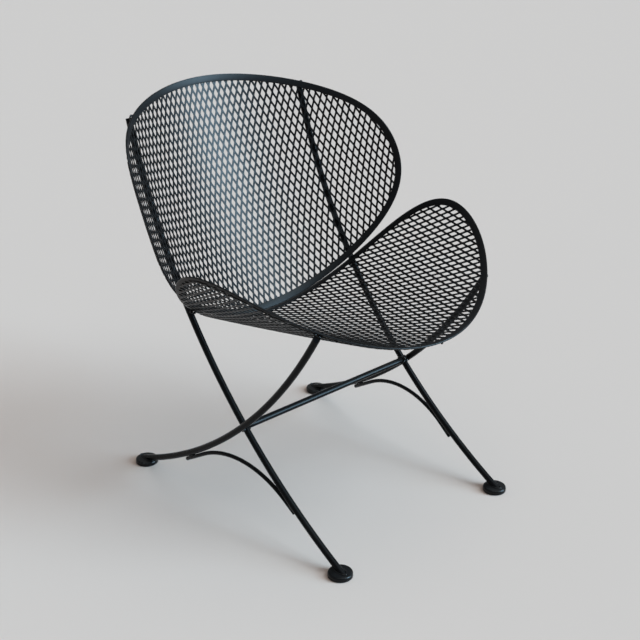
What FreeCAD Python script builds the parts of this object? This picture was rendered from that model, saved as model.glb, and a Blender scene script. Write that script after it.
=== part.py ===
import FreeCAD
import Part
import Sketcher
import math
import os
from collections import namedtuple

from FreeCAD import Matrix, Placement, Rotation, Vector

# Lounge chair of welded iron rod, with a bent mesh seat and a bent mesh back.
# The chair stands on the floor at Z = 0 and faces -Y, so +X is the sitter's left.
# Lengths are in millimetres and angles in degrees.

DIMENSIONS = [
    # back shell: an oval on a ring surface, bent round the sitter and dished upright
    ("back_crown", 244.5),
    ("back_shoulder_across", 293.0),
    ("back_shoulder_along", 157.0),
    ("back_tip_across", 387.0),
    ("back_tip_along", 0.0),
    ("back_hip_across", 305.0),
    ("back_hip_along", 157.0),
    ("back_tail", 244.5),
    ("back_bend_radius", 359.0),
    ("back_dish_radius", 1230.0),
    ("back_lean", 25.3),
    ("back_mid_height", 527.0),
    # seat shell: an oval with a narrower front, bent up at both sides
    ("seat_nose", 249.0),
    ("seat_shoulder_across", 225.0),
    ("seat_shoulder_along", 172.0),
    ("seat_tip_across", 373.0),
    ("seat_tip_along", 0.0),
    ("seat_hip_across", 268.0),
    ("seat_hip_along", 174.0),
    ("seat_tail", 247.0),
    ("seat_bend_radius", 370.0),
    ("seat_dish_radius", 12000.0),
    ("seat_tilt", 11.35),
    ("hinge_drop", 4.0),
    # flat bar round both shells
    ("rim_width", 14.0),
    ("rim_thickness", 3.2),
    # expanded metal behind the flat bar, drawn at an enlarged pitch
    ("mesh_long_pitch", 110.0),
    ("mesh_short_pitch", 44.0),
    ("mesh_strand_width", 4.2),
    ("mesh_thickness", 1.8),
    ("mesh_overlap", 4.5),
    ("mesh_gap", 0.9),
    # rods
    ("rod_diameter", 12.7),
    ("rod_gap", 0.5),
    ("brace_diameter", 8.0),
    ("leg_spread", 212.0),
    ("rib_overhang", 5.0),
    ("rear_leg_toe", 2.6),
    ("rear_leg_radius", 1020.0),
    ("rear_leg_inset", -1.2),
    ("foot_distance", 560.0),
    ("brace_bend_radius", 205.0),
    ("brace_rear_reach", 150.0),
    ("brace_front_reach", 135.0),
    ("brace_rear_lap", 20.0),
    ("brace_front_lap", 12.0),
    # disc feet
    ("foot_diameter", 46.0),
    ("foot_height", 10.0),
    ("foot_edge_bevel", 3.0),
    ("foot_sole_bevel", 1.2),
    # weld beads, and the room left between pieces that are welded to each other
    ("weld_reach", 1.15),
    ("weld_height", 4.5),
    ("brace_weld_length", 14.0),
    ("foot_weld_reach", 5.65),
    ("weld_gap", 0.3),
]

# Bars and bent rods are built from straight lengths, this many to each.
RIM_SPANS = 76
BORDER_POINTS = 152
HINGE_POINTS = 1200
FRONT_SPANS = 20
REAR_SPANS = 14
ARCH_SPANS = 9
ROD_SIDES = 16

doc = FreeCAD.newDocument("LoungeChair")
sheet = doc.addObject("Spreadsheet::Sheet", "Dimensions")
for row, (alias, size) in enumerate(DIMENSIONS, start=1):
    sheet.set("A%d" % row, alias)
    sheet.set("B%d" % row, repr(size))
    sheet.setAlias("B%d" % row, alias)
doc.recompute()


def size(alias):
    return float(sheet.get(alias))


GAP = size("weld_gap")
ROD_RADIUS = size("rod_diameter") / 2
BRACE_RADIUS = size("brace_diameter") / 2
RIM_THICKNESS = size("rim_thickness")
MESH_DEPTH = RIM_THICKNESS + size("mesh_gap")
SHELL_DEPTH = MESH_DEPTH + size("mesh_thickness")
RIM_WIDTH = size("rim_width")
MESH_INSET = RIM_WIDTH - size("mesh_overlap")

# A shell lies on a ring surface. Distances across it run round the bend and distances
# along it run round the dish, and depth is measured outwards from the sitter's side.
Shell = namedtuple("Shell", "outline tail bend dish")

# Marks along an outline, counted from its top or front middle round to the same point.
CROWN, TIP, TAIL, CLOSED = 0, 2, 4, 8


def oval(shell, top):
    """Smooth outline in the shell's flat layout, through the five marks of each side."""
    half = [(size("%s_%s_across" % (shell, mark)), sign * size("%s_%s_along" % (shell, mark)))
            for mark, sign in (("shoulder", 1), ("tip", 1), ("hip", -1))]
    points = [Vector(0, size("%s_%s" % (shell, top)), 0)]
    points += [Vector(across, along, 0) for across, along in half]
    points += [Vector(0, -size("%s_tail" % shell), 0)]
    points += [Vector(-across, along, 0) for across, along in reversed(half)]
    curve = Part.BSplineCurve()
    curve.interpolate(Points=points, Parameters=list(range(CLOSED + 1)), PeriodicFlag=True)
    return curve


BACK = Shell(oval("back", "crown"), size("back_tail"), size("back_bend_radius"), size("back_dish_radius"))
SEAT = Shell(oval("seat", "nose"), size("seat_tail"), size("seat_bend_radius"), size("seat_dish_radius"))


def shell_point(shell, across, along, depth):
    bend = across / shell.bend
    dish = along / shell.dish
    reach = shell.dish - shell.bend + (shell.bend + depth) * math.cos(bend)
    side = (shell.bend + depth) * math.sin(bend)
    return Vector(reach * math.cos(dish), reach * math.sin(dish), side)


def outline_point(shell, mark, inset):
    """Point of the outline at a mark, moved inwards by an inset."""
    point = shell.outline.value(mark)
    heading = shell.outline.tangent(mark)[0]
    return point.x + inset * heading.y, point.y - inset * heading.x


def outline_marks(count):
    return [CLOSED * step / count for step in range(count)]


def closed_solid(faces):
    skin = Part.Shell(faces)
    skin.sewShape()
    solid = Part.Solid(skin)
    if solid.Volume < 0:
        solid.reverse()
    return solid


def contains(polygon, point):
    """Even-odd test of a point in the shell's flat layout."""
    found = False
    for (x0, y0), (x1, y1) in zip(polygon, polygon[1:] + polygon[:1]):
        if (y0 > point[1]) != (y1 > point[1]):
            if point[0] < x0 + (point[1] - y0) * (x1 - x0) / (y1 - y0):
                found = not found
    return found


def between(start, end, share):
    return start[0] + (end[0] - start[0]) * share, start[1] + (end[1] - start[1]) * share


def root(function, low, high):
    """Bisection for the value at which a rising function passes zero."""
    for _ in range(60):
        middle = (low + high) / 2
        if function(middle) < 0:
            low = middle
        else:
            high = middle
    return (low + high) / 2


def quad_face(corners):
    first = Part.LineSegment(corners[0], corners[1]).toShape()
    second = Part.LineSegment(corners[3], corners[2]).toShape()
    return Part.makeRuledSurface(first, second)


def rim_solid(shell):
    """Flat bar that follows the outline, its wide face on the shell's surface."""
    corners = [(0, 0), (RIM_WIDTH, 0), (RIM_WIDTH, RIM_THICKNESS), (0, RIM_THICKNESS)]
    lines = []
    for inset, depth in corners:
        flat = [outline_point(shell, mark, inset) for mark in outline_marks(RIM_SPANS)]
        line = [shell_point(shell, across, along, depth) for across, along in flat]
        lines.append(line + line[:1])
    faces = []
    for first, second in zip(lines, lines[1:] + lines[:1]):
        for span in range(RIM_SPANS):
            faces.append(quad_face([first[span], first[span + 1], second[span + 1], second[span]]))
    return closed_solid(faces)


def mesh_solid(shell):
    """Expanded metal cut to the outline: knuckles joined by straight strands.

    Strands that reach the outline end there, behind the flat bar.
    """
    half_long = size("mesh_long_pitch") / 2
    half_short = size("mesh_short_pitch") / 2
    half_width = size("mesh_strand_width") / 2
    slant = math.hypot(half_long, half_short)
    full_share = 1 - half_width / slant
    side_corner = half_width * slant / half_long
    end_corner = half_width * slant / half_short
    border = [outline_point(shell, mark, MESH_INSET) for mark in outline_marks(BORDER_POINTS)]
    faces = []

    def corner(knuckle, side, end):
        return knuckle[0] * half_short + side * side_corner, knuckle[1] * half_long + end * end_corner

    def add_skins(flat):
        for depth in (MESH_DEPTH, SHELL_DEPTH):
            faces.append(quad_face([shell_point(shell, x, y, depth) for x, y in flat]))

    def add_wall(start, end):
        near = [shell_point(shell, x, y, MESH_DEPTH) for x, y in (start, end)]
        far = [shell_point(shell, x, y, SHELL_DEPTH) for x, y in (end, start)]
        faces.append(quad_face(near + far))

    columns = int(max(across for across, along in border) / half_short) + 1
    rows = int(max(abs(along) for across, along in border) / half_long) + 1
    knuckles = set()
    for column in range(-columns, columns + 1):
        for row in range(-rows, rows + 1):
            if (column + row) % 2 == 0 and contains(border, corner((column, row), 0, 0)):
                knuckles.add((column, row))

    for knuckle in sorted(knuckles):
        add_skins([corner(knuckle, *way) for way in ((1, 0), (0, 1), (-1, 0), (0, -1))])
        for side in (1, -1):
            for end in (1, -1):
                other = (knuckle[0] + side, knuckle[1] + end)
                if other in knuckles and end < 0:
                    continue
                lines = [(corner(knuckle, side, 0), corner(other, 0, -end)),
                         (corner(knuckle, 0, end), corner(other, -side, 0))]
                share = 1.0
                if other not in knuckles:
                    share = root(lambda part: -1 if all(contains(border, between(*line, part))
                                                        for line in lines) else 1, 0.0, full_share)
                if share * slant < half_width:
                    add_wall(lines[0][0], lines[1][0])
                    continue
                tips = [between(*line, share) for line in lines]
                add_skins([lines[0][0], tips[0], tips[1], lines[1][0]])
                add_wall(lines[0][0], tips[0])
                add_wall(lines[1][0], tips[1])
                if other not in knuckles:
                    add_wall(*tips)
    return closed_solid(faces)


def frame(base, x_axis, y_axis, z_axis):
    columns = Matrix(x_axis.x, y_axis.x, z_axis.x, base.x,
                     x_axis.y, y_axis.y, z_axis.y, base.y,
                     x_axis.z, y_axis.z, z_axis.z, base.z,
                     0, 0, 0, 1)
    return Placement(columns)


def shell_frame(shell, middle, outward, ahead):
    """Place of a ring surface whose middle point, outward and along directions are given."""
    return frame(middle - outward * shell.dish, outward, ahead, outward.cross(ahead))


# The back's ring surface, with its middle above the origin.
lean = math.radians(size("back_lean"))
back_frame = shell_frame(BACK, Vector(0, 0, size("back_mid_height")),
                         Vector(0, math.cos(lean), -math.sin(lean)),
                         Vector(0, math.sin(lean), math.cos(lean)))
ring_center = back_frame.Base

# Each front leg and the rib behind the back are one rod, bent to an arc round the same
# centre as the back's dish, so the rod follows the mesh all the way up.
SPREAD = size("leg_spread")
ROD_DEPTH = SHELL_DEPTH + size("rod_gap") + ROD_RADIUS
leg_radius = BACK.dish - BACK.bend + math.sqrt((BACK.bend + ROD_DEPTH) ** 2 - SPREAD ** 2)
FOOT_TOP = size("foot_height")


def leg_point(angle, offset=0):
    """Point of the left front leg's arc at an angle, moved out of the bend by an offset."""
    radius = leg_radius + offset
    return Vector(SPREAD, ring_center.y + radius * math.cos(angle), ring_center.z + radius * math.sin(angle))


floor_angle = -math.asin(ring_center.z / leg_radius)
foot_angle = -math.asin((ring_center.z - FOOT_TOP) / leg_radius)
front_foot = leg_point(foot_angle)
rim_across = BACK.bend * math.asin(SPREAD / (BACK.bend + RIM_THICKNESS))
rib_mark = root(lambda mark: outline_point(BACK, mark, 0)[0] - rim_across, CROWN, TIP)
rib_along = outline_point(BACK, rib_mark, 0)[1]
rib_angle = rib_along / BACK.dish - lean + size("rib_overhang") / leg_radius

# The seat hangs its rear edge a little below the back's lower edge, and its flat bar
# stops just short of the two front rods.
tilt = math.radians(size("seat_tilt"))
seat_outward = Vector(0, -math.sin(tilt), -math.cos(tilt))
seat_ahead = Vector(0, -math.cos(tilt), math.sin(tilt))
# With along pointing forwards, the sitter's left is the half of the outline after its tail.
back_lowest = back_frame.multVec(shell_point(BACK, 0, -BACK.tail, 0))
seat_rear = shell_frame(SEAT, Vector(), seat_outward, seat_ahead).multVec(
    shell_point(SEAT, 0, -SEAT.tail, 0))
seat_height = back_lowest.z - size("hinge_drop") - seat_rear.z


def seat_frame_at(reach):
    return shell_frame(SEAT, Vector(0, reach, seat_height), seat_outward, seat_ahead)


def hinge_contact(reach):
    """Gap between the left front rod and the seat's rear edge, and the mark and place where it is least."""
    place = seat_frame_at(reach)
    found = []
    for mark in outline_marks(HINGE_POINTS):
        if not TAIL < mark < CLOSED - TIP:
            continue
        for inset, depth in ((0, 0), (0, RIM_THICKNESS), (MESH_INSET, SHELL_DEPTH)):
            across, along = outline_point(SEAT, mark, inset)
            edge = place.multVec(shell_point(SEAT, across, along, depth))
            ring = math.hypot(edge.y - ring_center.y, edge.z - ring_center.z) - leg_radius
            found.append((math.hypot(edge.x - SPREAD, ring) - ROD_RADIUS, mark, edge))
    return min(found, key=lambda contact: contact[0])


rear_limit = front_foot.y - SEAT.tail
while hinge_contact(rear_limit)[0] > GAP:
    rear_limit += ROD_RADIUS / 2
seat_reach = root(lambda reach: GAP - hinge_contact(reach)[0], rear_limit - ROD_RADIUS / 2, rear_limit)
seat_frame = seat_frame_at(seat_reach)
hinge_mark, hinge_place = hinge_contact(seat_reach)[1:]

# Each rear leg stands in an upright plane that toes out towards the rear. It passes the
# outer side of the front leg and its top ends under the flat bar at the seat's front corner.
toe = math.radians(size("rear_leg_toe"))
rear_foot_y = front_foot.y + size("foot_distance")
UP = Vector(0, 0, 1)

RearLeg = namedtuple("RearLeg", "origin ahead center top_angle foot_angle top_mark")


def under_seat_bar(mark, inset):
    across, along = outline_point(SEAT, mark, inset)
    return seat_frame.multVec(shell_point(SEAT, across, along, RIM_THICKNESS + GAP))


def rear_leg_through(crossing_y):
    """Left rear leg's arc when its plane clears the front leg at this place."""
    origin = Vector(SPREAD + 2 * ROD_RADIUS + GAP, crossing_y, 0)
    ahead = Vector(math.sin(toe), math.cos(toe), 0)
    normal = ahead.cross(UP)
    inset = size("rear_leg_inset")
    top_mark = root(lambda mark: -normal.dot(under_seat_bar(mark, inset) - origin), CLOSED - TIP, CLOSED)
    top = under_seat_bar(top_mark, inset)
    foot = origin + ahead * ((rear_foot_y - crossing_y) / ahead.y) + UP * FOOT_TOP
    chord = foot - top
    radius = size("rear_leg_radius")
    bow = math.sqrt(radius ** 2 - (chord.Length / 2) ** 2)
    center = (top + foot) * 0.5 + normal.cross(chord).normalize() * bow

    def angle_of(point):
        return math.atan2(point.z - center.z, ahead.dot(point - center))

    return RearLeg(origin, ahead, center, angle_of(top), angle_of(foot), top_mark)


def rear_leg_point(leg, angle, offset=0):
    """Point of a rear leg's arc at an angle, moved out of the bend by an offset."""
    outward = leg.ahead * math.cos(angle) + UP * math.sin(angle)
    return leg.center + outward * (size("rear_leg_radius") + offset)


def front_leg_angle(depth):
    """Angle at which the front leg's arc passes a depth, on its lower part."""
    return -math.acos((depth - ring_center.y) / leg_radius)


def height_step(leg, depth):
    """How far the rear leg lies above the front leg at a depth."""
    ahead = (depth - leg.center.y) / leg.ahead.y
    rear_height = leg.center.z - math.sqrt(size("rear_leg_radius") ** 2 - ahead ** 2)
    return rear_height - leg_point(front_leg_angle(depth)).z


crossing_y = (front_foot.y + rear_foot_y) / 2
for _ in range(6):
    rear_leg = rear_leg_through(crossing_y)
    leg_top = rear_leg_point(rear_leg, rear_leg.top_angle)
    crossing_y = root(lambda depth: -height_step(rear_leg, depth), max(front_foot.y, leg_top.y), rear_foot_y)
crossing = leg_point(front_leg_angle(crossing_y))
rear_foot = rear_leg_point(rear_leg, rear_leg.foot_angle)

# Each brace is a thin rod bent to an arch below the crossing. Its straight ends lie along
# the under sides of the two legs.
BRACE_OFFSET = ROD_RADIUS + BRACE_RADIUS + GAP
front_touch_angle = front_leg_angle(crossing_y - size("brace_front_reach"))
front_touch = leg_point(front_touch_angle, BRACE_OFFSET)
rear_touch_angle = -math.acos((crossing_y + size("brace_rear_reach") - rear_leg.center.y)
                              / rear_leg.ahead.y / size("rear_leg_radius"))
rear_touch = rear_leg_point(rear_leg, rear_touch_angle, BRACE_OFFSET)
brace_run = Vector(rear_touch.x - front_touch.x, rear_touch.y - front_touch.y, 0).normalize()
front_slope = math.pi / 2 + front_touch_angle
rear_slope = math.pi / 2 + rear_touch_angle
front_rise = brace_run * math.cos(front_slope) + UP * math.sin(front_slope)
rear_rise = brace_run * math.cos(rear_slope) + UP * math.sin(rear_slope)


def leg_heading(angle):
    """Direction up the front leg."""
    return Vector(0, -math.sin(angle), math.cos(angle))


def rear_leg_heading(angle):
    """Direction up the rear leg."""
    return rear_leg.ahead * math.sin(angle) - UP * math.cos(angle)


def brace_line():
    """Places and headings along the left brace: straight end, arch, straight end."""
    axis = front_rise.cross(rear_rise)
    bend = math.asin(axis.Length)
    apex = front_touch + front_rise * ((rear_touch - front_touch).cross(rear_rise).Length / axis.Length)
    radius = size("brace_bend_radius")
    center = apex + (rear_rise - front_rise).normalize() * (radius / math.cos(bend / 2))
    arm = apex - front_rise * (radius * math.tan(bend / 2)) - center
    turns = [Rotation(axis, angle) for angle in steps(0, math.degrees(bend), ARCH_SPANS)]
    places = [center + turn.multVec(arm) for turn in turns]
    headings = [turn.multVec(front_rise) for turn in turns]
    start = front_touch - front_rise * size("brace_front_lap")
    end = rear_touch + rear_rise * size("brace_rear_lap")
    return [start] + places + [end], [front_rise] + headings + [rear_rise]


nodes = []


def add_node(label, shape, place=Placement()):
    """Sub-part whose shape has no feature of its own kind."""
    node = doc.addObject("Part::Feature", label)
    node.Shape = shape
    node.Placement = place
    nodes.append(node)


def mirrored(point, side):
    """Point for the sitter's left (1) or right (-1), given the left one."""
    return Vector(side * point.x, point.y, point.z)


def bent_rod(label, diameter, places, headings):
    """Rod made of straight lengths between places, square to its heading at each place."""
    sections = []
    for number, (place, heading) in enumerate(zip(places, headings)):
        section = doc.addObject("Part::RegularPolygon", "%s_section_%d" % (label, number))
        section.Polygon = ROD_SIDES
        section.setExpression("Circumradius", "Dimensions.%s / 2" % diameter)
        section.Placement = Placement(place, Rotation(UP, heading))
        sections.append(section)
    rod = doc.addObject("Part::Loft", label)
    rod.Sections = sections
    rod.Ruled = True
    rod.Solid = True
    return rod


def steps(start, end, spans):
    return [start + (end - start) * step / spans for step in range(spans + 1)]


def cut(label, base, tool):
    result = doc.addObject("Part::Cut", label)
    result.Base = base
    result.Tool = tool
    return result


def tube(shell, place, depth):
    """Solid inside a shell's ring surface, near its outline, down to a depth."""
    sweep = math.degrees(4 * shell.tail / shell.dish)
    ring = Part.makeTorus(shell.dish - shell.bend, shell.bend + depth, Vector(), UP, 0, 360, sweep)
    ring.Placement = place.multiply(Placement(Vector(), Rotation(UP, -sweep / 2)))
    return ring


# Flat bar and expanded metal of the two shells.
for name, shell, place in (("back", BACK, back_frame), ("seat", SEAT, seat_frame)):
    add_node(name + "_rim", rim_solid(shell), place)
    add_node(name + "_mesh", mesh_solid(shell), place)

# Everything below the tops of the feet, and the seat's tube, shape the ends of the rods.
FLOOR_DEPTH = 2 * ROD_RADIUS
FLOOR_MARGIN = 12 * ROD_RADIUS
FLOOR_WIDTH = 2 * (rear_foot.x + FLOOR_MARGIN)
floor = doc.addObject("Part::Box", "floor")
floor.Length = FLOOR_WIDTH
floor.Width = rear_foot.y - front_foot.y + 2 * FLOOR_MARGIN
floor.setExpression("Height", "Dimensions.foot_height + Dimensions.weld_gap + Dimensions.rod_diameter")
floor.Placement = Placement(Vector(-FLOOR_WIDTH / 2, front_foot.y - FLOOR_MARGIN, -FLOOR_DEPTH), Rotation())
seat_tube = doc.addObject("Part::Feature", "seat_tube")
seat_tube.Shape = tube(SEAT, seat_frame, RIM_THICKNESS + GAP)

over = 2 * ROD_RADIUS / size("rear_leg_radius")
for word, side in (("left", 1), ("right", -1)):
    angles = steps(floor_angle, rib_angle, FRONT_SPANS)
    front_rod = bent_rod("front_rod_" + word, "rod_diameter",
                         [mirrored(leg_point(angle), side) for angle in angles],
                         [mirrored(leg_heading(angle), side) for angle in angles])
    nodes.append(cut("front_leg_" + word, front_rod, floor))

    angles = steps(rear_leg.foot_angle + 2 * over, rear_leg.top_angle - over, REAR_SPANS)
    rear_rod = bent_rod("rear_rod_" + word, "rod_diameter",
                        [mirrored(rear_leg_point(rear_leg, angle), side) for angle in angles],
                        [mirrored(rear_leg_heading(angle), side) for angle in angles])
    standing = cut("standing_rod_" + word, rear_rod, floor)
    nodes.append(cut("rear_leg_" + word, standing, seat_tube))

    nodes.append(bent_rod("brace_" + word, "brace_diameter",
                          *([mirrored(step, side) for step in row] for row in brace_line())))

# One straight rod ties the two crossings together.
stretcher = doc.addObject("Part::Cylinder", "stretcher")
stretcher.setExpression("Radius", "Dimensions.rod_diameter / 2")
stretcher.setExpression("Height", "2 * Dimensions.leg_spread - Dimensions.rod_diameter"
                                  " - 2 * Dimensions.weld_gap")
stretcher_end = Vector(SPREAD - ROD_RADIUS - GAP, crossing.y, crossing.z)
stretcher.Placement = Placement(mirrored(stretcher_end, -1), Rotation(UP, Vector(1, 0, 0)))
nodes.append(stretcher)


def foot(label, place):
    """Turned disc with bevelled edges, centred under the end of a leg."""
    body = doc.addObject("PartDesign::Body", label)
    planes = {feature.Role: feature for feature in body.Origin.OriginFeatures}
    sketch = body.newObject("Sketcher::SketchObject", label + "_profile")
    sketch.AttachmentSupport = (planes["XZ_Plane"], [""])
    sketch.MapMode = "FlatFace"
    radius = size("foot_diameter") / 2
    corners = [Vector(), Vector(radius, 0, 0), Vector(radius, FOOT_TOP, 0), Vector(0, FOOT_TOP, 0)]
    for start, end in zip(corners, corners[1:] + corners[:1]):
        sketch.addGeometry(Part.LineSegment(start, end), False)
    for line in range(4):
        sketch.addConstraint(Sketcher.Constraint("Coincident", line, 2, (line + 1) % 4, 1))
    sketch.addConstraint(Sketcher.Constraint("Coincident", 0, 1, -1, 1))
    for line, way in enumerate(("Horizontal", "Vertical", "Horizontal", "Vertical")):
        sketch.addConstraint(Sketcher.Constraint(way, line))
    for line, expression in ((0, "Dimensions.foot_diameter / 2"), (1, "Dimensions.foot_height")):
        number = sketch.addConstraint(Sketcher.Constraint("Distance", line, radius))
        sketch.setExpression("Constraints[%d]" % number, expression)
    disc = body.newObject("PartDesign::Revolution", label + "_disc")
    disc.Profile = sketch
    disc.ReferenceAxis = (sketch, ["V_Axis"])
    disc.Angle = 360.0
    doc.recompute()
    for level, alias in ((FOOT_TOP, "foot_edge_bevel"), (0, "foot_sole_bevel")):
        base = body.Tip
        bevel = body.newObject("PartDesign::Chamfer", "%s_%s" % (label, alias))
        rings = ["Edge%d" % number for number, edge in enumerate(base.Shape.Edges, start=1)
                 if edge.BoundBox.ZLength < GAP and abs(edge.BoundBox.ZMin - level) < GAP]
        bevel.Base = (base, rings)
        bevel.setExpression("Size", "Dimensions." + alias)
        doc.recompute()
    body.Placement = Placement(Vector(place.x, place.y, 0), Rotation())
    return body


for word, place in (("front", front_foot), ("rear", rear_foot)):
    pair = doc.addObject("Part::Compound", "feet_" + word)
    pair.Links = [foot("foot_%s_%s" % (word, hand), mirrored(place, side))
                  for hand, side in (("left", 1), ("right", -1))]
    nodes.append(pair)


def cleared_rod(point, heading, radius):
    """Stretch of a rod round a point, with room for the weld gap and for the rod's bend."""
    length = 6 * ROD_RADIUS
    return Part.makeCylinder(radius + size("rod_gap"), length, point - heading * (length / 2), heading)


def outward_at(place, shell, mark):
    """Direction out of a shell, away from the sitter, at a mark of its outline."""
    across, along = outline_point(shell, mark, 0)
    top, below = (place.multVec(shell_point(shell, across, along, depth)) for depth in (0, RIM_THICKNESS))
    return (below - top).normalize()


# Beads of the left side. Each starts as a simple solid and gives way to the rods it holds.
WELD_RADIUS = ROD_RADIUS + size("weld_reach")
WELD_HEIGHT = size("weld_height")
FOOT_WELD = ROD_RADIUS + size("foot_weld_reach")
SIDEWAYS = Vector(1, 0, 0)


def front_rod_at(angle):
    return cleared_rod(leg_point(angle), leg_heading(angle), ROD_RADIUS)


def rear_rod_at(angle):
    return cleared_rod(rear_leg_point(rear_leg, angle), rear_leg_heading(angle), ROD_RADIUS)


def seat_bead(mark, rod):
    """Bead under the seat's flat bar, beside a rod, clear of the mesh."""
    start = under_seat_bar(mark, MESH_INSET - GAP - WELD_RADIUS)
    return Part.makeCylinder(WELD_RADIUS, WELD_HEIGHT, start, outward_at(seat_frame, SEAT, mark)).cut(rod)


def foot_bead(place, rod):
    base = Vector(place.x, place.y, FOOT_TOP + GAP)
    return Part.makeCone(FOOT_WELD, FOOT_WELD - WELD_HEIGHT, WELD_HEIGHT, base, UP).cut(rod)


def brace_bead(touch, rise, leg_place, leg_rod):
    """Bead in the two grooves beside a brace that lies along a leg."""
    length = size("brace_weld_length")
    outward = (touch - leg_place).normalize()
    across = outward.cross(rise).normalize()
    heading = across.cross(outward)
    block = Part.makeBox(length, 2 * BRACE_RADIUS, BRACE_OFFSET)
    corner = leg_place - heading * (length / 2) - across * BRACE_RADIUS
    block.Placement = frame(corner, heading, across, outward)
    return block.cut([leg_rod, cleared_rod(touch, rise, BRACE_RADIUS)])


rib_place = back_frame.multVec(shell_point(BACK, *outline_point(BACK, rib_mark, MESH_INSET / 2),
                                           RIM_THICKNESS + GAP))
rib_post = Part.makeCylinder(MESH_INSET / 2 - GAP, ROD_DEPTH, rib_place,
                             outward_at(back_frame, BACK, rib_mark))
hinge_angle = math.atan2(hinge_place.z - ring_center.z, hinge_place.y - ring_center.y)
crossing_rod = front_rod_at(front_leg_angle(crossing_y))
outer_angle = math.atan2(crossing.z - rear_leg.center.z, (crossing_y - rear_leg.center.y) / rear_leg.ahead.y)
crossing_post = Part.makeCylinder(WELD_RADIUS, 2 * ROD_RADIUS, crossing + SIDEWAYS * GAP, SIDEWAYS)
tie_cone = Part.makeCone(WELD_RADIUS + WELD_HEIGHT / 2, WELD_RADIUS, ROD_RADIUS / 2 + WELD_HEIGHT,
                         crossing - SIDEWAYS * (ROD_RADIUS / 2), -SIDEWAYS)
BEADS = [
    ("weld_rib_top", rib_post.cut(front_rod_at(rib_angle))),
    ("weld_hinge", seat_bead(hinge_mark, front_rod_at(hinge_angle))),
    ("weld_seat_front", seat_bead(rear_leg.top_mark, rear_rod_at(rear_leg.top_angle))),
    ("weld_crossing", crossing_post.cut([crossing_rod, rear_rod_at(outer_angle)])),
    ("weld_stretcher_end", tie_cone.cut([crossing_rod, cleared_rod(stretcher_end, SIDEWAYS, ROD_RADIUS)])),
    ("weld_brace_front", brace_bead(front_touch, front_rise, leg_point(front_touch_angle),
                                    front_rod_at(front_touch_angle))),
    ("weld_brace_rear", brace_bead(rear_touch, rear_rise, rear_leg_point(rear_leg, rear_touch_angle),
                                   rear_rod_at(rear_touch_angle))),
    ("weld_foot_front", foot_bead(front_foot, front_rod_at(foot_angle))),
    ("weld_foot_rear", foot_bead(rear_foot, rear_rod_at(rear_leg.foot_angle))),
]
for label, bead in BEADS:
    right = [solid.mirror(Vector(), SIDEWAYS) for solid in bead.Solids]
    add_node(label, Part.makeCompound(bead.Solids + right))

doc.recompute()

# The finished chair stands with its origin under the middle of its box.
boxes = [node.Shape.optimalBoundingBox() for node in nodes]
middle = (min(box.YMin for box in boxes) + max(box.YMax for box in boxes)) / 2
shift = Placement(Vector(0, -middle, 0), Rotation())
for node in nodes:
    node.Placement = shift.multiply(node.Placement)
doc.recompute()

for item in doc.Objects:
    if "Invalid" in item.State or "Error" in item.State:
        raise RuntimeError("%s did not build: %s" % (item.Label, item.State))
for node in nodes:
    if node.Shape.isNull() or not node.Shape.isValid():
        raise RuntimeError("%s has no valid shape" % node.Label)

os.makedirs("parts", exist_ok=True)
for node in nodes:
    node.Shape.exportStep(os.path.join("parts", node.Label + ".step"))
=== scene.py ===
import math
from collections import namedtuple

import bmesh
import bpy
import numpy as np
from mathutils import Matrix, Vector
from mathutils.geometry import interpolate_bezier


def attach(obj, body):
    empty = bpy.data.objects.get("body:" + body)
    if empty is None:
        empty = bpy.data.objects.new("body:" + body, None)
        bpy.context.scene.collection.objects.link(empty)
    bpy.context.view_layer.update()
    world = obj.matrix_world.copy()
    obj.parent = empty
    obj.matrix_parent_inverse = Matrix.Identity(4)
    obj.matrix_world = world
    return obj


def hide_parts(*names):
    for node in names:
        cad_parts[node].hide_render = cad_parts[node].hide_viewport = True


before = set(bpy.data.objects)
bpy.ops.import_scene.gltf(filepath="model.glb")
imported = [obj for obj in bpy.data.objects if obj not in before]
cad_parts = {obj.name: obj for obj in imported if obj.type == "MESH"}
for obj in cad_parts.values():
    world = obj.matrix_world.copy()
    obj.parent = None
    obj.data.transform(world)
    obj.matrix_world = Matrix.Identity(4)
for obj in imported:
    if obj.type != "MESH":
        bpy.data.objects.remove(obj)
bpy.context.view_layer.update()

# Front rods. Each front leg runs on past the seat and up behind the back as its rib.
# It is one length of half-inch round iron bar, rolled to a single arc, sawn off level on its foot
# and sawn square a little past the back's edge bar.
UP = Vector((0, 0, 1))
REARWARD = Vector((0, 1, 0))
SIDES = (("left", 1), ("right", -1))
ROD_RADIUS = 0.00635
ROD_SIDES = 24
ARC_STEPS = 72
SAWN_EDGE = 0.0008
SAWN_EDGE_CUTS = 2
SAWN_EDGE_WEAR = 1.0
FOOT_TOP = 0.010
LEG_SPREAD = 0.212
LEG_CENTRE = Vector((LEG_SPREAD, -0.8522, 1.05265))
LEG_BEND = 1.176375
LEG_START = -1.108
RIB_END = -0.2850

# Its paint is two blacks that cloud into each other, with dust on level faces and iron at rubbed corners.
DEEP_BLACK = (0.0012, 0.0013, 0.0015, 1)
SOFT_BLACK = (0.0028, 0.0031, 0.0038, 1)
DUST_GREY = (0.16, 0.152, 0.14, 1)
RUBBED_IRON = (0.085, 0.083, 0.082, 1)
MOTTLE_MIDDLE = 0.5
DRIFT_CONTRAST = 1.6
DRIFT_START = 0.35
SPECK_CONTRAST = 0.8
SPECK_BASE = 0.5
CHIP_FLECK = 0.6
CHIP_START = 0.86
CHIP_EDGE = 9.0
CLOUD_DULLS = 0.16
FLECK_DULLS = 0.06
DUST_DULLS = 0.3
RUBBING_DULLS = 0.12
CORNER_SHINE = 0.22
PEEL_DEPTH = 0.0004
FLECK_SHARE = 0.65
GRAIN_SHARE = 0.35


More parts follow.
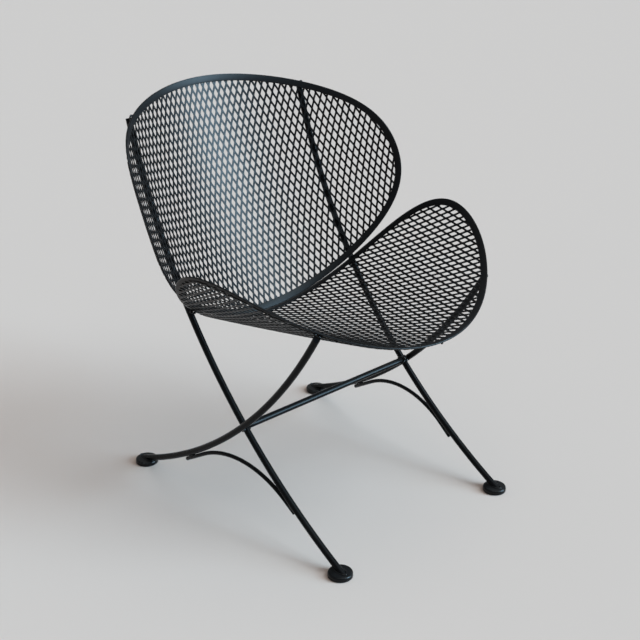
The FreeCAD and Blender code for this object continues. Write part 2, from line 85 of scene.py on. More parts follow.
class Shade:
    """Output of a shader node. Arithmetic on it adds Math nodes to the same material."""

    def __init__(self, tree, socket=None):
        self.tree = tree
        self.socket = socket

    def add(self, kind, settings, sockets, output=0):
        """New node with its settings made first, then its sockets set or linked."""
        node = self.tree.nodes.new("ShaderNode" + kind)
        for name, value in settings.items():
            setattr(node, name, value)
        for name, value in sockets.items():
            if isinstance(value, Shade):
                self.tree.links.new(value.socket, node.inputs[name])
            else:
                node.inputs[name].default_value = value
        return Shade(self.tree, node.outputs[output] if node.outputs else None)

    def maths(self, operation, first, second, clamp=False):
        return self.add("Math", {"operation": operation, "use_clamp": clamp}, {0: first, 1: second})

    def blend(self, first, second):
        """Colour between two colours, by this share."""
        return self.add("Mix", {"data_type": "RGBA"}, {0: self, 6: first, 7: second}, 2)

    def clamped(self):
        return self.maths("ADD", self, 0.0, True)

    def __add__(self, other):
        return self.maths("ADD", self, other)

    def __radd__(self, other):
        return self.maths("ADD", other, self)

    def __sub__(self, other):
        return self.maths("SUBTRACT", self, other)

    def __rsub__(self, other):
        return self.maths("SUBTRACT", other, self)

    def __mul__(self, other):
        return self.maths("MULTIPLY", self, other)

    def __rmul__(self, other):
        return self.maths("MULTIPLY", other, self)

    def __pow__(self, other):
        return self.maths("POWER", self, other)

    def __rpow__(self, other):
        return self.maths("POWER", other, self)


def black_paint(name, gloss, sheen, peel, dust, rubbed):
    """Satin black enamel on iron: cloudy sheen, orange peel, settled dust and rubbed corners."""
    finish = bpy.data.materials.new(name)
    finish.use_nodes = True
    tree = finish.node_tree
    tree.nodes.clear()
    paint = Shade(tree)
    place = paint.add("TexCoord", {}, {}, "Object")

    def mottle(scale, detail, roughness):
        sockets = {"Vector": place, "Scale": scale, "Detail": detail, "Roughness": roughness}
        return paint.add("TexNoise", {}, sockets)

    cloud = mottle(scale=16.0, detail=5.0, roughness=0.62)
    fleck = mottle(scale=260.0, detail=3.0, roughness=0.6)
    grain = mottle(scale=900.0, detail=2.0, roughness=0.5)
    facing = paint.add("NewGeometry", {}, {}, "Normal")
    level = paint.add("SeparateXYZ", {}, {"Vector": facing}, "Z").clamped()
    drifts = cloud * DRIFT_CONTRAST - DRIFT_START
    specks = fleck * SPECK_CONTRAST + SPECK_BASE
    settled = (level ** 2 * drifts * specks * dust).clamped()
    corner = paint.add("Attribute", {"attribute_name": "corner"}, {}, "Fac")
    chips = ((cloud + fleck * CHIP_FLECK - CHIP_START) * CHIP_EDGE).clamped()
    bare = (corner * chips * rubbed).clamped()
    enamel = cloud.blend(DEEP_BLACK, SOFT_BLACK)
    dusty = settled.blend(enamel, DUST_GREY)
    colour = bare.blend(dusty, RUBBED_IRON)
    uneven = (cloud - MOTTLE_MIDDLE) * CLOUD_DULLS
    speckled = (fleck - MOTTLE_MIDDLE) * FLECK_DULLS
    worn = settled * DUST_DULLS + bare * RUBBING_DULLS - corner * CORNER_SHINE
    rough = (gloss + uneven + speckled + worn).clamped()
    skin = paint.add("Bump", {}, {"Strength": peel, "Distance": PEEL_DEPTH,
                                  "Height": fleck * FLECK_SHARE + grain * GRAIN_SHARE}, "Normal")
    coat = paint.add("BsdfPrincipled", {}, {"Base Color": colour, "Roughness": rough, "Normal": skin,
                                            "Specular IOR Level": sheen})
    paint.add("OutputMaterial", {}, {"Surface": coat})
    return finish


rod_paint = black_paint("rod_enamel", gloss=0.27, sheen=0.11, peel=0.16, dust=0.06, rubbed=0.5)


def whole(shape):
    return shape.verts[:] + shape.edges[:] + shape.faces[:]


def of_kind(items, kind):
    return [item for item in items if isinstance(item, kind)]


def arc_out(rearward, angle):
    """Way from an arc's centre to the bar, in the upright plane of a level rearward way."""
    return rearward * math.cos(angle) + UP * math.sin(angle)


def roll_bar(centre, rearward, bend, start, end):
    """Round bar rolled to an arc in the upright plane of a level rearward way."""
    shape = bmesh.new()
    bmesh.ops.create_circle(shape, cap_ends=True, segments=ROD_SIDES, radius=ROD_RADIUS)
    out = arc_out(rearward, start)
    axis = rearward.cross(UP)
    turn = Matrix((out, axis, axis.cross(out))).transposed().to_4x4()
    bmesh.ops.transform(shape, matrix=Matrix.Translation(centre + out * bend) @ turn, verts=shape.verts)
    bmesh.ops.spin(shape, geom=whole(shape), cent=centre, axis=axis, angle=end - start, steps=ARC_STEPS)
    return shape


def saw(shape, place, off):
    """Saws away what lies beyond a place in the off direction, and closes the sawn end."""
    sawn = bmesh.ops.bisect_plane(shape, geom=whole(shape), plane_co=place, plane_no=off, clear_outer=True)
    bmesh.ops.contextual_create(shape, geom=of_kind(sawn["geom_cut"], bmesh.types.BMEdge))


def ends_of(shape):
    """Faces of more than four corners, which a bar has only at its ends."""
    return [face for face in shape.faces if len(face.verts) > 4]


def wear_corner(faces, corner, wear):
    """Marks the middle of a rounded corner, where paint rubs off first."""
    rounded = set(faces)
    for vert in {vert for face in faces for vert in face.verts}:
        if rounded.issuperset(vert.link_faces):
            vert[corner] = wear


def ease_ends(shape, picked=lambda middle: True):
    """Takes the burr off the sawn ends that a test of the end's middle picks."""
    corner = shape.verts.layers.float.new("corner")
    edges = {edge for face in ends_of(shape) if picked(face.calc_center_median()) for edge in face.edges}
    eased = bmesh.ops.bevel(shape, geom=list(edges), offset=SAWN_EDGE, affect="EDGES",
                            segments=SAWN_EDGE_CUTS, profile=0.5, material=-1)
    wear_corner(eased["faces"], corner, SAWN_EDGE_WEAR)


def face_outward(shape):
    """Turns the faces of every closed part of a mesh outwards."""
    bmesh.ops.recalc_face_normals(shape, faces=shape.faces)
    shape.normal_update()
    left = set(shape.faces)
    while left:
        reach = [left.pop()]
        middle = reach[0].calc_center_median()
        part = []
        while reach:
            face = reach.pop()
            part.append(face)
            near = {other for edge in face.edges for other in edge.link_faces} & left
            left -= near
            reach.extend(near)
        if sum(face.calc_area() * face.normal.dot(face.calc_center_median() - middle) for face in part) < 0:
            bmesh.ops.reverse_faces(shape, faces=part)


def fit_piece(name, shape, finish, nodes, sharp=40):
    """Finished mesh as a piece of the chair, which stands for these nodes of the frame.

    Edges that turn by more than the sharp angle, in degrees, stay crisp.
    """
    face_outward(shape)
    mesh = bpy.data.meshes.new(name)
    shape.to_mesh(mesh)
    shape.free()
    mesh.shade_smooth()
    mesh.set_sharp_from_angle(angle=math.radians(sharp))
    mesh.materials.append(finish)
    piece = bpy.data.objects.new(name, mesh)
    bpy.context.scene.collection.objects.link(piece)
    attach(piece, "root")
    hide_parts(*nodes)


for word, side in SIDES:
    rod = roll_bar(LEG_CENTRE, REARWARD, LEG_BEND, LEG_START, RIB_END)
    saw(rod, UP * FOOT_TOP, -UP)
    ease_ends(rod, lambda middle: middle.z > FOOT_TOP * 2)
    bmesh.ops.scale(rod, vec=(side, 1, 1), verts=rod.verts)
    fit_piece("front_rod_" + word, rod, rod_paint, ["front_leg_" + word])

# Rear rods. Each rear leg crosses the outer side of a front rod and rises to the seat's front corner.
# It is the same half-inch bar, rolled the other way and toed out a little towards its foot,
# and its top is sawn to lie under the seat's edge bar, level with the bar's outer side.
REAR_CENTRE = Vector((0.255881, 0.63422, 0.955736))
REAR_BEND = 1.020
TOED_OUT = Vector((0.045363, 0.998971, 0))
REAR_TOP = -2.632225
REAR_FOOT = -1.954747
REAR_SPARE = 0.026
SEAT_UNDERSIDE = Vector((0.5774, -0.1607, -0.8004))
SEAT_SIDE = Vector((0.4469, -0.7583, 0.4746))
SEAT_SIDE_PLACE = Vector((0.21075, -0.25048, 0.45434))


def rear_place(angle):
    return REAR_CENTRE + arc_out(TOED_OUT, angle) * REAR_BEND


for word, side in SIDES:
    rod = roll_bar(REAR_CENTRE, TOED_OUT, REAR_BEND, REAR_TOP - REAR_SPARE, REAR_FOOT + REAR_SPARE)
    saw(rod, UP * FOOT_TOP, -UP)
    saw(rod, rear_place(REAR_TOP), -SEAT_UNDERSIDE)
    saw(rod, SEAT_SIDE_PLACE, SEAT_SIDE)
    bmesh.ops.scale(rod, vec=(side, 1, 1), verts=rod.verts)
    fit_piece("rear_rod_" + word, rod, rod_paint, ["rear_leg_" + word])

# Stretcher. One straight length of the same bar ties the two crossings together.
# Its ends butt against the inner sides of the front rods and are welded all round.
SIDEWAYS = Vector((1, 0, 0))
QUARTER_TURN = math.radians(90)
CROSSING = Vector((LEG_SPREAD, -0.04582, 0.196139))
STRETCHER_HALF = 0.20535
STRETCHER_STEPS = 24


def draw_out(shape, faces, travel):
    """Extrudes faces of a shape by a travel, and gives what has grown."""
    grown = bmesh.ops.extrude_face_region(shape, geom=faces)["geom"]
    bmesh.ops.translate(shape, vec=travel, verts=of_kind(grown, bmesh.types.BMVert))
    return grown


def pull_end(shape, heading, length):
    """Draws the foremost end of a bar on in a straight line, and gives the new end."""
    tip = max(ends_of(shape), key=lambda face: face.calc_center_median().dot(heading))
    return of_kind(draw_out(shape, [tip], heading * length), bmesh.types.BMFace)


def clear_inside(shape):
    """Takes out the faces that the bar's earlier ends left inside it."""
    inside = [face for face in shape.faces if all(len(edge.link_faces) > 2 for edge in face.edges)]
    bmesh.ops.delete(shape, geom=inside, context="FACES_ONLY")


stretcher = bmesh.new()
bmesh.ops.create_circle(stretcher, cap_ends=True, segments=ROD_SIDES, radius=ROD_RADIUS)
lying = Matrix.Rotation(QUARTER_TURN, 4, "Y")
bmesh.ops.transform(stretcher, verts=stretcher.verts,
                    matrix=Matrix.Translation((-STRETCHER_HALF, CROSSING.y, CROSSING.z)) @ lying)
for step in range(STRETCHER_STEPS):
    pull_end(stretcher, SIDEWAYS, 2 * STRETCHER_HALF / STRETCHER_STEPS)
clear_inside(stretcher)
ease_ends(stretcher)
fit_piece("stretcher_bar", stretcher, rod_paint, ["stretcher"])

# Braces. A thin round bar arches under each crossing and steadies the two legs against each other.
# It is 8 mm bar with one bend, and its straight ends lie along the under sides of the legs.
BRACE_RADIUS = 0.004
BRACE_SIDES = 18
BRACE_BEND = 0.205
BRACE_STEPS = 30
FRONT_TOUCH = Vector((0.212, -0.174742, 0.077929))
FRONT_RISE = Vector((0.058601, 0.819052, 0.570719))
FRONT_LAP = 0.012
REAR_TOUCH = Vector((0.23156, 0.098646, 0.075506))
REAR_RISE = Vector((0.060949, 0.851876, -0.520186))
REAR_LAP = 0.020

brace_axis = FRONT_RISE.cross(REAR_RISE)
brace_turn = math.asin(brace_axis.length)
rise_length = (REAR_TOUCH - FRONT_TOUCH).cross(REAR_RISE).length / brace_axis.length
brace_apex = FRONT_TOUCH + FRONT_RISE * rise_length
bend_tangent = BRACE_BEND * math.tan(brace_turn / 2)
brace_centre = brace_apex + (REAR_RISE - FRONT_RISE).normalized() * (BRACE_BEND / math.cos(brace_turn / 2))
brace_start = FRONT_TOUCH - FRONT_RISE * FRONT_LAP
brace_lie = UP.rotation_difference(FRONT_RISE).to_matrix().to_4x4()

for word, side in SIDES:
    brace = bmesh.new()
    bmesh.ops.create_circle(brace, cap_ends=True, segments=BRACE_SIDES, radius=BRACE_RADIUS)
    bmesh.ops.transform(brace, matrix=Matrix.Translation(brace_start) @ brace_lie, verts=brace.verts)
    tip = pull_end(brace, FRONT_RISE, FRONT_LAP + rise_length - bend_tangent)
    rounded = {item for face in tip for item in [face, *face.edges, *face.verts]}
    bmesh.ops.spin(brace, geom=list(rounded), cent=brace_centre, axis=brace_axis, angle=brace_turn,
                   steps=BRACE_STEPS)
    pull_end(brace, REAR_RISE, (REAR_TOUCH - brace_apex).length - bend_tangent + REAR_LAP)
    clear_inside(brace)
    ease_ends(brace)
    bmesh.ops.scale(brace, vec=(side, 1, 1), verts=brace.verts)
    fit_piece("brace_bar_" + word, brace, rod_paint, ["brace_" + word])

# Feet. Each leg stands on a turned iron disc with a slightly hollow sole and a rounded upper edge.
# The leg's sawn end sits on the middle of the disc and is welded to it.
FOOT_RADIUS = 0.023
FOOT_STEPS = 56
SOLE_HOLLOW = 0.0002
HOLLOW_RADIUS = FOOT_RADIUS * 0.8
SOLE_RADIUS = FOOT_RADIUS * 0.84
SOLE_BEVEL = 0.0012
RIM_ROUND = 0.0034
RIM_CUTS = 6
RIM_WEAR = 0.6
TOUCHING = 1e-6
FOOT_PLACES = {"front": Vector((0.212, -0.307461, 0)), "rear": Vector((0.238548, 0.252539, 0))}
FOOT_PROFILE = ((0, SOLE_HOLLOW), (HOLLOW_RADIUS, SOLE_HOLLOW), (SOLE_RADIUS, 0),
                (FOOT_RADIUS - SOLE_BEVEL, 0), (FOOT_RADIUS, SOLE_BEVEL),
                (FOOT_RADIUS, FOOT_TOP), (0, FOOT_TOP))
foot_paint = black_paint("foot_enamel", gloss=0.30, sheen=0.20, peel=0.14, dust=0.10, rubbed=0.5)


def on_top_edge(vert):
    return vert.co.z > FOOT_TOP - TOUCHING and vert.co.xy.length > FOOT_RADIUS - TOUCHING


def mirror_across(shape):
    """Adds the other side of the chair to what stands on one side."""
    bmesh.ops.mirror(shape, geom=whole(shape), axis="X", merge_dist=0)


for word, place in FOOT_PLACES.items():
    pair = bmesh.new()
    corner = pair.verts.layers.float.new("corner")
    points = [pair.verts.new((across, 0, height)) for across, height in FOOT_PROFILE]
    edges = [pair.edges.new(ends) for ends in zip(points, points[1:])]
    bmesh.ops.spin(pair, geom=points + edges, cent=(0, 0, 0), axis=UP, angle=math.tau, steps=FOOT_STEPS,
                   use_merge=True)
    bmesh.ops.remove_doubles(pair, verts=pair.verts, dist=TOUCHING)
    top_edges = [edge for edge in pair.edges if all(on_top_edge(vert) for vert in edge.verts)]
    rounded = bmesh.ops.bevel(pair, geom=top_edges, offset=RIM_ROUND, affect="EDGES", segments=RIM_CUTS,
                              profile=0.5, material=-1)
    wear_corner(rounded["faces"], corner, RIM_WEAR)
    bmesh.ops.translate(pair, vec=place, verts=pair.verts)
    mirror_across(pair)
    fit_piece("disc_feet_" + word, pair, foot_paint, ["feet_" + word])

# Seat edge bar. A flat iron bar is bent on edge to an oval, then bent up at both sides with the seat.
# Its two ends meet at the middle of the front, where a small lump of weld is left.
# A shell's outline is laid out flat by marks, then bent round the sitter and dished along its middle.
Shell = namedtuple("Shell", "marks bend dish base outward along side")
SEAT = Shell(
    marks=((0, 0.249), (0.225, 0.172), (0.373, 0), (0.268, -0.174),
           (0, -0.247), (-0.268, -0.174), (-0.373, 0), (-0.225, 0.172)),
    bend=0.370, dish=12.0, base=Vector((0, 2.26077, 12.12519)), outward=Vector((0, -0.196802, -0.980443)),
    along=Vector((0, -0.980443, 0.196802)), side=Vector((-1, 0, 0)))
POINTS_BETWEEN_MARKS = 30
BAR_WIDTH = 0.014
BAR_THICKNESS = 0.0032
BAR_CORNER = 0.0011
BAR_CORNER_CUTS = 3
BAR_CORNER_TURN = math.radians(60)
BAR_CORNER_WEAR = 1.0
JOINT_LUMP = 0.0030
JOINT_WIDTH = 0.6
JOINT_PLACE = Vector((0.006, 0.2456, 0.0036))
bar_paint = black_paint("bar_enamel", gloss=0.44, sheen=0.22, peel=0.14, dust=0.05, rubbed=0.25)


def outline(shell):
    """Smooth closed line through the shell's marks, in its flat layout."""
    marks = np.array(shell.marks)
    count = len(marks)
    pull = 4 * np.eye(count) + np.roll(np.eye(count), 1, 1) + np.roll(np.eye(count), -1, 1)
    slope = np.linalg.solve(pull, 3 * (np.roll(marks, -1, 0) - np.roll(marks, 1, 0))) / 3
    points = []
    for number in range(count):
        after = (number + 1) % count
        run = [marks[number], marks[number] + slope[number], marks[after] - slope[after], marks[after]]
        points += interpolate_bezier(*(Vector((*point, 0)) for point in run), POINTS_BETWEEN_MARKS + 1)[:-1]
    return points


def on_shell(shell, flat):
    """Place of a point of the flat layout on the bent shell. Its depth is away from the sitter."""
    bend = flat.x / shell.bend
    dish = flat.y / shell.dish
    reach = shell.dish - shell.bend + (shell.bend + flat.z) * math.cos(bend)
    sideways = (shell.bend + flat.z) * math.sin(bend)
    return (shell.base + shell.outward * (reach * math.cos(dish)) + shell.along * (reach * math.sin(dish))
            + shell.side * sideways)


def bend_to_shell(shape, shell):
    for vert in shape.verts:
        vert.co = on_shell(shell, vert.co)


def edge_bar(shell):
    """Flat bar along the shell's outline, its wide face on the shell, with eased corners."""
    bar = bmesh.new()
    corner = bar.verts.layers.float.new("corner")
    sheet = bar.faces.new([bar.verts.new(point) for point in outline(shell)])
    bar.normal_update()
    bmesh.ops.inset_individual(bar, faces=[sheet], thickness=BAR_WIDTH, use_even_offset=True)
    bmesh.ops.delete(bar, geom=[sheet], context="FACES")
    draw_out(bar, bar.faces[:], UP * BAR_THICKNESS)
    bmesh.ops.recalc_face_normals(bar, faces=bar.faces)
    lengthwise = [edge for edge in bar.edges if edge.calc_face_angle(0) > BAR_CORNER_TURN]
    eased = bmesh.ops.bevel(bar, geom=lengthwise, offset=BAR_CORNER, affect="EDGES",
                            segments=BAR_CORNER_CUTS, profile=0.5, material=-1)
    wear_corner(eased["faces"], corner, BAR_CORNER_WEAR)
    return bar


seat_bar = edge_bar(SEAT)
bmesh.ops.create_icosphere(seat_bar, subdivisions=3, radius=JOINT_LUMP,
                           matrix=Matrix.Translation(JOINT_PLACE) @ Matrix.Diagonal((JOINT_WIDTH, 1, 1, 1)))
bend_to_shell(seat_bar, SEAT)
fit_piece("seat_edge_bar", seat_bar, bar_paint, ["seat_rim"], sharp=25)

# Seat mesh. Expanded steel sheet with its long diamonds running fore and aft lies under the edge bar.
# It is slit and stretched from one sheet, so every strand leans a little and runs into its knuckles
# in one piece. It is sheared to the oval and spot welded to the bar.
DIAMOND_SHORT = 0.0136
DIAMOND_LONG = 0.0342
STRAND_WIDTH = 0.0040
STRAND_THICKNESS = 0.0012
STRAND_CURVE = 0.5
STRAND_CUTS = 3
SPARE_DIAMONDS = 2
ON_COLUMN = 0.1
MESH_DEPTH = 0.0034
MESH_INSET = 0.0075
TIP_STEPS = 400
half_short = DIAMOND_SHORT / 2
half_long = DIAMOND_LONG / 2
mesh_paint = black_paint("mesh_enamel", gloss=0.38, sheen=0.21, peel=0.1, dust=0.04, rubbed=0.2)


def strand_sweep(share):
    """How far across a strand has run at a share of its length. It runs straight into its knuckles."""
    return share + STRAND_CURVE * (share * share * (3 - 2 * share) - share)


def opening_half(share):
    """Half the width of an opening, at a share of the way from its middle to the next knuckle."""
    slope = DIAMOND_SHORT / DIAMOND_LONG * (1 + STRAND_CURVE * (6 * share * (1 - share) - 1))
    return half_short * (1 - strand_sweep(share)) - STRAND_WIDTH / 2 * math.hypot(1, slope)


tip_shares = np.linspace(1, 0, TIP_STEPS)
opening_tip = float(np.interp(0, [opening_half(share) for share in tip_shares], tip_shares))


def sheared_border(shell):
    """Turns and reaches of the line along which a sheet is sheared, and the far corner of its outline."""
    line = np.array([point.xy for point in outline(shell)])
    ahead = np.roll(line, -1, 0) - np.roll(line, 1, 0)
    ahead /= np.linalg.norm(ahead, axis=1)[:, None]
    border = line + MESH_INSET * np.stack([ahead[:, 1], -ahead[:, 0]], 1)
    turns = np.arctan2(border[:, 1], border[:, 0])
    order = np.argsort(turns)
    return turns[order], np.linalg.norm(border, axis=1)[order], line.max(0)


def expanded_sheet(shell, skew, lean):
    """Net of leaning strands in the shell's flat layout, sheared to its outline."""
    turns, reaches, far_corner = sheared_border(shell)

    def room(place):
        """How far inside the sheared border a place lies."""
        reach = np.interp(math.atan2(place.y, place.x), turns, reaches, period=math.tau)
        return float(reach) - place.xy.length

    net = bmesh.new()
    half = int(far_corner[0] / DIAMOND_SHORT + far_corner[1] / DIAMOND_LONG) + SPARE_DIAMONDS
    bmesh.ops.create_grid(net, x_segments=2 * half, y_segments=2 * half, size=half)
    lattice = Matrix(((half_short, -half_short, 0), (half_long, half_long, 0), (0, 0, 1)))
    bmesh.ops.transform(net, matrix=lattice.to_4x4(), verts=net.verts)
    outer = [vert for vert in net.verts if room(vert.co) < -DIAMOND_LONG]
    bmesh.ops.delete(net, geom=outer, context="VERTS")
    cut = bmesh.ops.subdivide_edges(net, edges=net.edges[:], cuts=STRAND_CUTS)
    for vert in set(of_kind(cut["geom_inner"], bmesh.types.BMVert)):
        share = vert.co.y / half_long % 1
        column = vert.co.x / half_short - share
        way = 1 if abs(column - round(column)) < ON_COLUMN else -1
        vert.co.x += way * (strand_sweep(share) - share) * half_short
    net.normal_update()
    cells = net.faces[:]
    bmesh.ops.inset_individual(net, faces=cells, thickness=STRAND_WIDTH / 2, use_even_offset=True)
    for cell in cells:
        ring = set(cell.verts)
        spines = [next(edge.other_vert(vert) for edge in vert.link_edges if edge.other_vert(vert) not in ring)
                  for vert in cell.verts]
        middle = sum((spine.co for spine in spines), Vector()) / len(spines)
        for vert, spine in zip(cell.verts, spines):
            along = (spine.co.y - middle.y) / half_long * opening_tip
            across = math.copysign(opening_half(abs(along)), spine.co.x - middle.x)
            height = lean * (middle.x + across - spine.co.x)
            vert.co = (middle.x + across, middle.y + along * half_long, height)
    bmesh.ops.delete(net, geom=cells, context="FACES_ONLY")
    bmesh.ops.rotate(net, matrix=Matrix.Rotation(math.radians(skew), 3, "Z"), verts=net.verts)
    shorn = []
    for edge in net.edges[:]:
        near, far = edge.verts
        spare = room(near.co)
        short = room(far.co)
        if spare * short < 0:
            shorn.append(bmesh.utils.edge_split(edge, near, spare / (spare - short))[1])
    bmesh.ops.connect_verts(net, verts=shorn)
    offcuts = [face for face in net.faces if room(face.calc_center_median()) < 0]
    bmesh.ops.delete(net, geom=offcuts, context="FACES")
    draw_out(net, net.faces[:], UP * STRAND_THICKNESS)
    bmesh.ops.translate(net, vec=UP * MESH_DEPTH, verts=net.verts)
    return net


seat_net = expanded_sheet(SEAT, skew=2.6, lean=0.14)
bend_to_shell(seat_net, SEAT)
fit_piece("seat_expanded_mesh", seat_net, mesh_paint, ["seat_mesh"], sharp=50)

# Back edge bar. The same flat bar bent to a wider oval and curved round the sitter.
# The two ribs are welded to its rear face near the top, and it is held low down by the rods at the seat.
BACK = Shell(
    marks=((0, 0.2445), (0.293, 0.157), (0.387, 0), (0.305, -0.157),
           (0, -0.2445), (-0.305, -0.157), (-0.387, 0), (-0.293, 0.157)),
    bend=0.359, dish=1.230, base=Vector((0, -0.8522, 1.05265)), outward=Vector((0, 0.904083, -0.427358)),
    along=Vector((0, 0.427358, 0.904083)), side=SIDEWAYS)

back_bar = edge_bar(BACK)
bend_to_shell(back_bar, BACK)
fit_piece("back_edge_bar", back_bar, bar_paint, ["back_rim"], sharp=25)

# Back mesh. The same expanded sheet with its long diamonds upright, sheared to the oval
# and spot welded behind the edge bar.
back_net = expanded_sheet(BACK, skew=-1.0, lean=0.09)
bend_to_shell(back_net, BACK)
fit_piece("back_expanded_mesh", back_net, mesh_paint, ["back_mesh"], sharp=50)

# Weld beads. Every joint is arc welded, and the beads are left as laid and painted over with the rest.
# Each foot has a bead round its leg, the stretcher has one round each end, the crossings and braces have
# theirs in the grooves, and the rods are tacked to the two edge bars.
BEAD_STEPS = 40
BEAD_SIDES = 8
RIPPLE = 0.2
RIPPLE_PACE = 2.5
SWELL = 0.12
SWELL_PACE = 0.9
SWELL_START = 1
BEAD_CLEAR = 0.0006
BEAD_REACH = ROD_RADIUS + BEAD_CLEAR
FOOT_BEAD = 0.0018
FRONT_FOOT = -1.089346
TIE_BEAD = 0.0022
CROSSING_ARM = 0.0052
CROSSING_BEAD = 0.0026
BRACE_BEAD = 0.0015
BRACE_BEAD_HALF = 0.008
GROOVE_HALF = BRACE_RADIUS * 0.85
FRONT_GRIP = -0.963416
REAR_GRIP = -2.117865
TACK_ARM = 0.0026
TACK_BEAD = 0.0017
TACK_PLACES = (Vector((0.21262, -0.25561, 0.45268)), Vector((0.21821, -0.25121, 0.45767)))
SEAT_REAR = -0.61059
SEAT_REAR_PLACE = Vector((0.208213, 0.107138, 0.381308))
SEAT_REAR_ACROSS = 0.006
SEAT_REAR_ALONG = 0.0045
SEAT_REAR_BEAD = 0.0022
RIB_PLACE = Vector((0.210635, 0.266293, 0.723126))
RIB_LIFT = 0.0016
RIB_ACROSS = 0.0042
RIB_ALONG = 0.0055
RIB_BEAD = 0.0019
bead_paint = black_paint("bead_enamel", gloss=0.20, sheen=0.40, peel=0.3, dust=0.05, rubbed=0.0)


def lay_bead(shape, path, stand, size):
    """Rippled bead of weld metal laid along a closed path, standing up in one direction."""
    laid = set(shape.verts)
    section = bmesh.ops.create_circle(shape, segments=BEAD_SIDES, radius=size)["verts"]
    bmesh.ops.rotate(shape, matrix=Matrix.Rotation(QUARTER_TURN, 3, "X"), verts=section)
    bmesh.ops.translate(shape, vec=SIDEWAYS, verts=section)
    edges = {edge for vert in section for edge in vert.link_edges}
    bmesh.ops.spin(shape, geom=section + list(edges), cent=(0, 0, 0), axis=UP, angle=math.tau,
                   steps=BEAD_STEPS, use_merge=True)
    middle = sum(path, Vector()) / len(path)
    for vert in set(shape.verts) - laid:
        step = round(math.atan2(vert.co.y, vert.co.x) / math.tau * BEAD_STEPS) % BEAD_STEPS
        rippled = RIPPLE * math.sin(step * RIPPLE_PACE)
        swell = 1 + rippled + SWELL * math.sin(step * SWELL_PACE + SWELL_START)
        out = (path[step] - middle).normalized()
        vert.co = path[step] + out * ((vert.co.xy.length - 1) * swell) + stand * (vert.co.z * swell)


def oval_path(middle, first, second):
    """Closed path round a middle point, through the ends of two arms."""
    turns = [math.tau * step / BEAD_STEPS for step in range(BEAD_STEPS)]
    return [middle + first * math.cos(turn) + second * math.sin(turn) for turn in turns]


def arc_heading(rearward, angle):
    """Way in which a rolled bar runs at an angle of its arc."""
    return UP * math.cos(angle) - rearward * math.sin(angle)


def round_leg(pair, heading):
    """Path round a leg where it stands on its foot."""
    first = heading.orthogonal().normalized() * BEAD_REACH
    ring = oval_path(Vector(), first, heading.cross(first))
    base = FOOT_PLACES[pair] + UP * FOOT_TOP
    return [base + spot - heading * (spot.dot(UP) / heading.dot(UP)) for spot in ring]


def round_tie():
    """Path round the stretcher's end, on the side of the front rod."""
    away = arc_out(REARWARD, math.atan2(CROSSING.z - LEG_CENTRE.z, CROSSING.y - LEG_CENTRE.y))
    path = []
    for spot in oval_path(CROSSING, REARWARD * BEAD_REACH, UP * BEAD_REACH):
        off = (spot - CROSSING).dot(away)
        path.append(spot - SIDEWAYS * math.sqrt(max(0, ROD_RADIUS ** 2 - off ** 2)))
    return path


def in_groove(touch, rise, leg):
    """Path in the grooves beside a brace that lies along a leg."""
    outward = (touch - leg).normalized()
    across = outward.cross(rise).normalized()
    return oval_path(touch - outward * BRACE_RADIUS, rise * BRACE_BEAD_HALF, across * GROOVE_HALF)


front_grip = LEG_CENTRE + arc_out(REARWARD, FRONT_GRIP) * LEG_BEND
seat_rear_heading = arc_heading(REARWARD, SEAT_REAR)
rib_heading = arc_heading(REARWARD, RIB_END)
rib_outward = arc_out(REARWARD, RIB_END)
rib_seat = RIB_PLACE + rib_outward * RIB_LIFT
tack_out = SEAT_SIDE * TACK_ARM
tack_across = SEAT_SIDE.cross(SEAT_UNDERSIDE) * TACK_ARM
tacks = [oval_path(spot - tack_out * 2, tack_out, tack_across) for spot in TACK_PLACES]
crossing_path = oval_path(CROSSING + SIDEWAYS * ROD_RADIUS, REARWARD * CROSSING_ARM, UP * CROSSING_ARM)
seat_rear_path = oval_path(SEAT_REAR_PLACE, SIDEWAYS * SEAT_REAR_ACROSS, seat_rear_heading * SEAT_REAR_ALONG)
rib_path = oval_path(rib_seat, SIDEWAYS * RIB_ACROSS, rib_heading * RIB_ALONG)
front_groove = in_groove(FRONT_TOUCH, FRONT_RISE, front_grip)
rear_groove = in_groove(REAR_TOUCH, REAR_RISE, rear_place(REAR_GRIP))
BEADS = {
    "foot_front": ([round_leg("front", arc_heading(REARWARD, FRONT_FOOT))], UP, FOOT_BEAD),
    "foot_rear": ([round_leg("rear", arc_heading(TOED_OUT, REAR_FOOT))], UP, FOOT_BEAD),
    "stretcher_end": ([round_tie()], SIDEWAYS, TIE_BEAD),
    "crossing": ([crossing_path], SIDEWAYS, CROSSING_BEAD),
    "brace_front": ([front_groove], FRONT_RISE.cross(SIDEWAYS), BRACE_BEAD),
    "brace_rear": ([rear_groove], REAR_RISE.cross(SIDEWAYS), BRACE_BEAD),
    "seat_front": (tacks, SEAT_UNDERSIDE, TACK_BEAD),
    "hinge": ([seat_rear_path], seat_rear_heading.cross(SIDEWAYS), SEAT_REAR_BEAD),
    "rib_top": ([rib_path], rib_outward, RIB_BEAD),
}
for word, (paths, stand, size) in BEADS.items():
    beads = bmesh.new()
    for path in paths:
        lay_bead(beads, path, stand.normalized(), size)
    mirror_across(beads)
    fit_piece("bead_" + word, beads, bead_paint, ["weld_" + word], sharp=60)

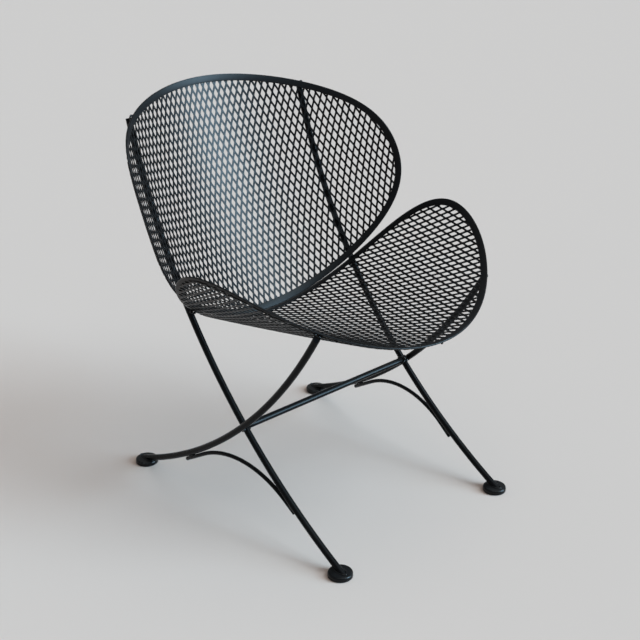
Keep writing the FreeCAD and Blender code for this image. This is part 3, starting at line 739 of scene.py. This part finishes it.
# Studio. A plain pale floor under wide, soft lamps: a warm one overhead, and cooler ones for the sky
# and for a window in front and to the right. The camera stands at the photograph's angle.
FLOOR_SIZE = 40.0
FLOOR_FINISH = {"Base Color": (0.69, 0.56, 0.49, 1), "Roughness": 0.95, "Specular IOR Level": 0.0}
ROOM_LIGHT = {"Color": (0.9, 0.95, 1.0, 1), "Strength": 0.30}
CHAIR_MIDDLE = Vector((0, 0.1, 0.5))
CAMERA_PLACE = Vector((-1.4336, -1.59108, 1.2956))
CAMERA_AIM = Vector((0.6154, 0.6737, -0.4091))
CAMERA_LENS = 67.5
CAMERA_SENSOR = 36.0

floor_shape = bmesh.new()
bmesh.ops.create_grid(floor_shape, x_segments=1, y_segments=1, size=FLOOR_SIZE)
floor_mesh = bpy.data.meshes.new("studio_floor")
floor_shape.to_mesh(floor_mesh)
floor_shape.free()
floor = bpy.data.objects.new("studio_floor", floor_mesh)
bpy.context.scene.collection.objects.link(floor)
floor_finish = bpy.data.materials.new("pale_floor")
floor_finish.use_nodes = True
for socket, value in FLOOR_FINISH.items():
    floor_finish.node_tree.nodes["Principled BSDF"].inputs[socket].default_value = value
floor_mesh.materials.append(floor_finish)

world = bpy.data.worlds.new("studio")
world.use_nodes = True
for socket, value in ROOM_LIGHT.items():
    world.node_tree.nodes["Background"].inputs[socket].default_value = value
bpy.context.scene.world = world


def set_up(name, device, place, aim):
    """Stands a lamp or the camera at a place, turned to look along its aim."""
    holder = bpy.data.objects.new(name, device)
    holder.location = place
    holder.rotation_mode = "QUATERNION"
    holder.rotation_quaternion = aim.to_track_quat("-Z", "Y")
    bpy.context.scene.collection.objects.link(holder)
    return holder


def add_lamp(name, place, colour, energy, spread):
    """Far, wide lamp that shines on the chair. Its spread is in degrees."""
    lamp = bpy.data.lights.new(name, "SUN")
    lamp.color = colour
    lamp.energy = energy
    lamp.angle = math.radians(spread)
    set_up(name, lamp, place, CHAIR_MIDDLE - place)


add_lamp("overhead", Vector((0.6, -0.5, 3.0)), colour=(1.0, 0.95, 0.88), energy=0.65, spread=70)
add_lamp("skylight", Vector((1.58, -2.33, 3.85)), colour=(0.62, 0.84, 1.0), energy=1.3, spread=30)
add_lamp("window", Vector((3.05, -4.19, 2.06)), colour=(0.5, 0.78, 1.0), energy=5.1, spread=35)

lens = bpy.data.cameras.new("camera")
lens.lens = CAMERA_LENS
lens.sensor_width = CAMERA_SENSOR
bpy.context.scene.camera = set_up("camera", lens, CAMERA_PLACE, CAMERA_AIM)
bpy.context.scene.view_settings.view_transform = "Standard"
